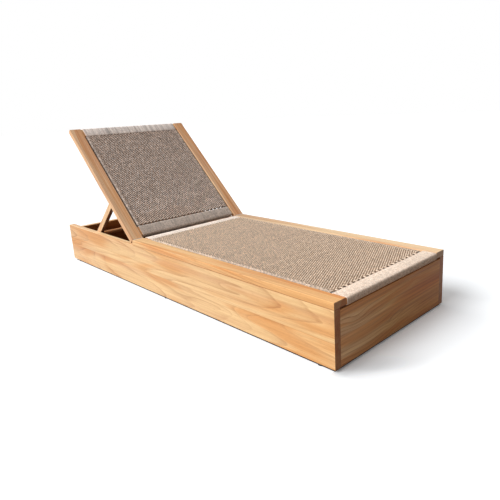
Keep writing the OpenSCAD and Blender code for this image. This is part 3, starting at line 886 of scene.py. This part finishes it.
view = bpy.data.cameras.new("camera")
view.lens = LENS
view.sensor_width = SENSOR
view.shift_x, view.shift_y = SHIFT
view.clip_end = CLIP_END
camera = place_object("camera", view)
looks = Vector(CAMERA_LOOKS).normalized()
right = Vector(CAMERA_RIGHT)
right = (right - looks * right.dot(looks)).normalized()
axes = Matrix((right, right.cross(looks), -looks)).transposed().to_4x4()
camera.matrix_world = Matrix.Translation(CAMERA_AT) @ axes
bpy.context.scene.camera = camera

for sun_name, energy, softness, sun_from in SUNS:
    sun = bpy.data.lights.new(sun_name, "SUN")
    sun.energy = energy
    sun.angle = math.radians(softness)
    lamp = place_object(sun_name, sun)
    lamp.rotation_euler = Vector(sun_from).to_track_quat("Z", "Y").to_euler()

world = bpy.data.worlds.new("studio")
bpy.context.scene.world = world
world.use_nodes = True
sky = world.node_tree
sky.nodes.clear()
fill = put(sky, "Background", FILL).outputs[0]
white = put(sky, "Background", WHITE).outputs[0]
put(sky, "OutputWorld", (put(sky, "MixShader", (seen_ray(sky), fill, white)).outputs[0],))

# ---------------------------------------------------------------- floor
FLOOR_HALF = 30
# how far inside the box's outer faces the painted shade on the floor begins, and where the painted shade
# in front does
FLOOR_INSET = 0.007
FRONT_INSET = 0.01
# the paper's tint, its own glow and its lightness, and what it throws back at the lounger
PAPER = (0.99, 1.02, 1.05)
PAPER_GLOW = 0.06
PAPER_LIT = 1.12
BOUNCE = (0.25, 0.17, 0.12, 1)
# painted shade: the floor inside the box is dark, under the seat and under the back
SHADE_UNDER_SEAT = (0.10, 0.07, 0.06, 1)
SHADE_UNDER_BACK = (0.23, 0.145, 0.085, 1)
# the painted shade by the foot board: how it fades ahead and sideways, and how deep it is across the board
FOOT_FADE = 0.055
FOOT_SIDES = (0.34, 0.40)
FOOT_SHADE = (-0.30, 0.30, 0.80, 1.08)
# the firm painted shade from the near corner: its place, drift, soft and firm width, way in and out, and
# depth
CORNER_Y = 0.33
CORNER_DRIFT = 1.1
CORNER_SOFT = 0.10
CORNER_FIRM = 0.05
CORNER_IN = (0.0, 0.03, 0.3, 1.0)
CORNER_OUT = (0.08, 0.20, 1.0, 0.0)
CORNER_DEPTH = 0.34


def within(tree, value, limit):
    """1 where a value lies nearer to zero than a limit."""
    return calc(tree, "LESS_THAN", calc(tree, "ABSOLUTE", value), limit)


def floor_light(tree, x, y):
    """How light the white floor is, with a painted shade in front of the foot board."""
    in_front = calc(tree, "GREATER_THAN", x, BOARD_END - FRONT_INSET)
    ahead = calc(tree, "MAXIMUM", minus(tree, x, BOARD_END), 0.0)
    near = calc(tree, "EXPONENT", calc(tree, "DIVIDE", ahead, -FOOT_FADE))
    near = times(tree, near, spread(tree, calc(tree, "ABSOLUTE", y), *FOOT_SIDES, 1.0, 0.0), in_front)
    light = spread(tree, near, 0.0, 1.0, PAPER_LIT, spread(tree, y, *FOOT_SHADE))
    off = calc(tree, "MULTIPLY_ADD", ahead, -CORNER_DRIFT, add(tree, y, CORNER_Y))
    sides = [calc(tree, "DIVIDE", off, width) for width in (CORNER_SOFT, -CORNER_FIRM)]
    corner = times(
        tree,
        bell(tree, calc(tree, "MAXIMUM", *sides)),
        spread(tree, ahead, *CORNER_IN),
        spread(tree, ahead, *CORNER_OUT),
        in_front,
    )
    return times(tree, light, calc(tree, "MULTIPLY_ADD", corner, -CORNER_DEPTH, 1.0))


def floor_material():
    """White paper round the lounger, which keeps its shadow and has painted shade in front of the foot
    board, and dark painted shade on the floor inside its box.
    """
    made, tree, _ = material("floor")
    tree.nodes.clear()
    x, y, _ = parts(tree, put(tree, "TexCoord").outputs["Object"])
    light = floor_light(tree, x, y)
    paper = put(tree, "BsdfDiffuse", (colour_of(tree, *(times(tree, light, share) for share in PAPER)),))
    glow = put(tree, "Emission", ((1, 1, 1, 1), PAPER_GLOW))
    paper = put(tree, "AddShader", (paper.outputs[0], glow.outputs[0])).outputs[0]
    bounce, shade_under_seat, shade_under_back = (
        put(tree, "BsdfDiffuse", (colour,)).outputs[0] for colour in (BOUNCE, SHADE_UNDER_SEAT, SHADE_UNDER_BACK)
    )
    inside = times(
        tree, within(tree, x, BOARD_END - FLOOR_INSET), within(tree, y, BOARD_OUTSIDE - FLOOR_INSET)
    )
    open_part = times(tree, calc(tree, "LESS_THAN", x, HINGE_X), within(tree, y, BOARD_INSIDE))
    # painted shade on the floor inside the box, in place of the paper
    ground = put(tree, "MixShader", (open_part, shade_under_seat, shade_under_back)).outputs[0]
    outside = put(tree, "MixShader", (seen_ray(tree), bounce, paper)).outputs[0]
    shown = put(tree, "MixShader", (inside, outside, ground)).outputs[0]
    put(tree, "OutputMaterial", (shown,))
    return made


corner_signs = ((-1, -1), (1, -1), (1, 1), (-1, 1))
floor_mesh = bpy.data.meshes.new("floor")
floor_mesh.from_pydata([(FLOOR_HALF * x, FLOOR_HALF * y, 0) for x, y in corner_signs], [], [(0, 1, 2, 3)])
floor_mesh.materials.append(floor_material())
floor = place_object("floor", floor_mesh)

bpy.context.scene.view_settings.view_transform = "Standard"
